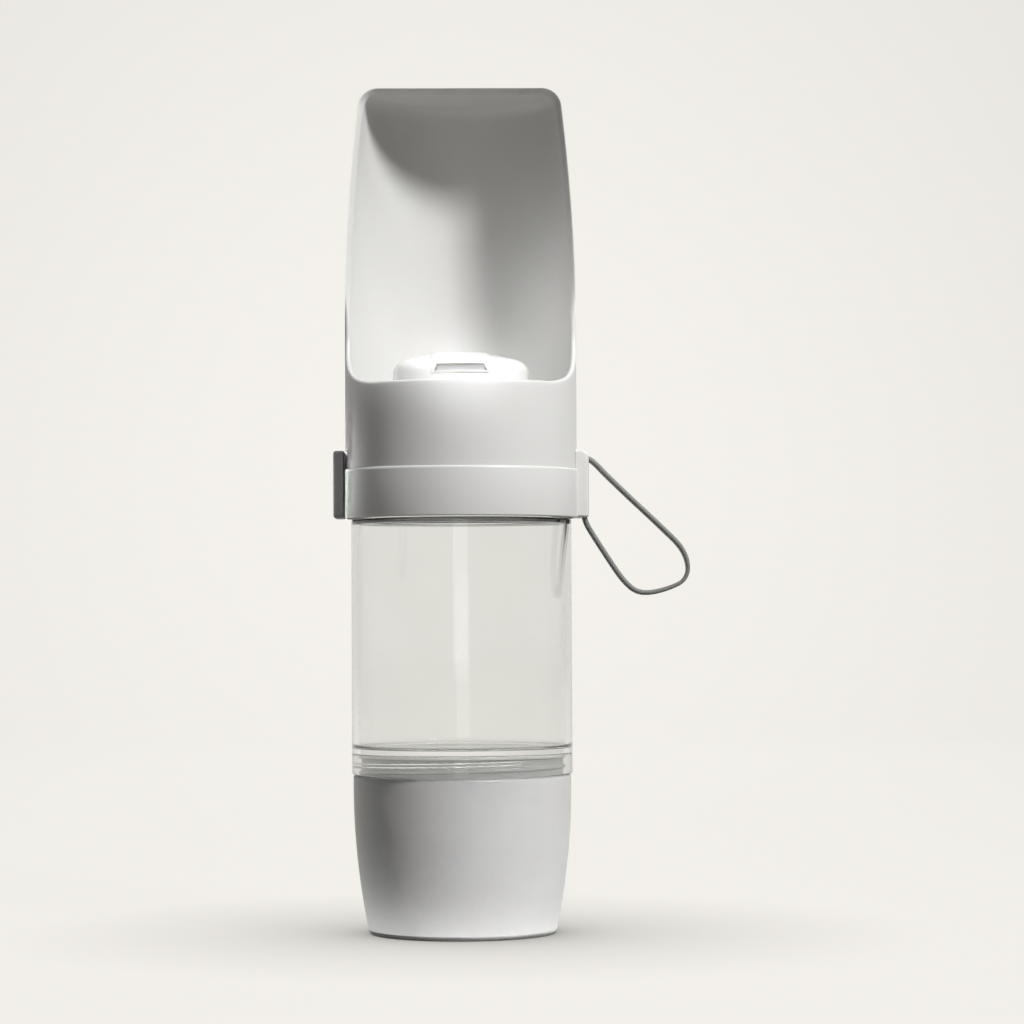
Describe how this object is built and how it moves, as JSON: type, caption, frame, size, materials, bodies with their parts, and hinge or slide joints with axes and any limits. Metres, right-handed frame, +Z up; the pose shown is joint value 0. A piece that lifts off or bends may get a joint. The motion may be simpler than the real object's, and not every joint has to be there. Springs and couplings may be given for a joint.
{
  "type": "dog travel water bottle",
  "caption": "Clear travel water bottle for a dog with a scoop-shaped drinking trough on top, a push-button water valve, a wrist strap and a screw-on food cup below.",
  "frame": {"origin": "middle of the foot of the food cup, on the surface it stands on", "axes": "+Z up along the bottle, -Y to the open front of the trough, +X to the strap lug"},
  "size_m": [0.1128, 0.075, 0.2687],
  "materials": {
    "cup_plastic": "satin light grey moulded polypropylene",
    "shell_plastic": "satin light grey moulded ABS",
    "clear_plastic": "clear moulded copolyester",
    "white_plastic": "gloss white moulded plastic",
    "dark_plastic": "matt dark grey moulded plastic",
    "strap_rubber": "matt dark grey moulded silicone",
    "silicone": "translucent white silicone",
    "steel": "bright stainless steel"
  },
  "bodies": {
    "cup": {"food_cup": "cup_plastic"},
    "cup_gasket_ring": {"cup_gasket": "silicone"},
    "bottle_body": {"bottle": "clear_plastic"},
    "neck_gasket_ring": {"bottle_gasket": "silicone"},
    "head": {"collar_ring": "shell_plastic", "trough_shell": "shell_plastic", "trough_oring": "silicone", "outlet_cover": "white_plastic", "valve_insert": "white_plastic", "insert_oring": "silicone", "insert_screws": "steel", "valve_spring": "steel", "gland_seal": "silicone", "gland_washer": "steel", "button_spring": "steel", "wrist_strap": "strap_rubber"},
    "button": {"release_button": "dark_plastic", "cam_fork": "white_plastic", "fork_pin": "steel"},
    "valve": {"valve_stem": "white_plastic", "valve_seal": "silicone", "cam_follower": "white_plastic", "stem_clip": "steel"}
  },
  "joints": [
    {"name": "bottle_lift", "type": "slide", "parent": "cup", "child": "cup_gasket_ring", "axis": [0, 0, 1], "range_m": [0, 0.0051]},
    {"name": "bottle_turn", "type": "hinge", "parent": "cup_gasket_ring", "child": "bottle_body", "pos_m": [0, 0, 0], "axis": [0, 0, 1], "range_deg": [0, 450]},
    {"name": "head_lift", "type": "slide", "parent": "bottle_body", "child": "neck_gasket_ring", "axis": [0, 0, 1], "range_m": [0, 0.0061]},
    {"name": "head_turn", "type": "hinge", "parent": "neck_gasket_ring", "child": "head", "pos_m": [0, 0, 0], "axis": [0, 0, 1], "range_deg": [0, 540]},
    {"name": "button_press", "type": "slide", "parent": "head", "child": "button", "axis": [1, 0, 0], "range_m": [0, 0.002], "stiffness_N_per_m": 300, "springref_m": -0.002, "deforming": ["button_spring"]},
    {"name": "valve_open", "type": "slide", "parent": "head", "child": "valve", "axis": [0, 0, -1], "range_m": [0, 0.0021], "stiffness_N_per_m": 300, "springref_m": -0.002, "deforming": ["valve_spring"]}
  ],
  "couplings": [
    {"joint": "bottle_lift", "follows": "bottle_turn", "m_per_rad": 0.00063662},
    {"joint": "head_lift", "follows": "head_turn", "m_per_rad": 0.00063662},
    {"joint": "valve_open", "follows": "button_press", "ratio": 1}
  ]
}
